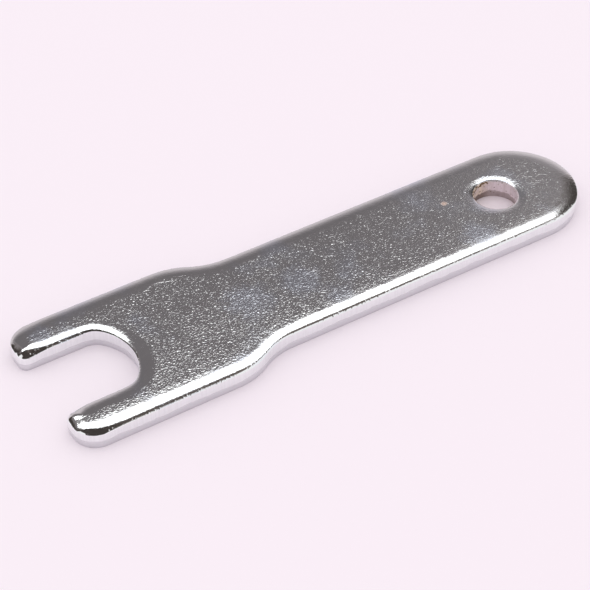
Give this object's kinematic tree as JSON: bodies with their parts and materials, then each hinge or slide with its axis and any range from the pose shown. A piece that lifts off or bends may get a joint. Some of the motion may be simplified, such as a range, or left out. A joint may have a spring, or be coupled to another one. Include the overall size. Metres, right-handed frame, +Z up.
{
  "type": "open-end wrench",
  "caption": "Flat open-end wrench blanked from chromed steel plate: a straight-sided fork jaw for a hex collet nut, shoulders, a parallel handle with a round end and a hanging hole.",
  "frame": {"origin": "under the middle of the overall length, on the underside of the plate", "axes": "+X from the prong tips to the round end, +Y across the plate, +Z up through the die-rolled face"},
  "size_m": [0.116, 0.0322, 0.004],
  "materials": {
    "chrome_plate": "bright chrome plate over blanked steel, with fine pits and scuffs"
  },
  "bodies": {
    "root": {"wrench": "chrome_plate"}
  },
  "joints": []
}
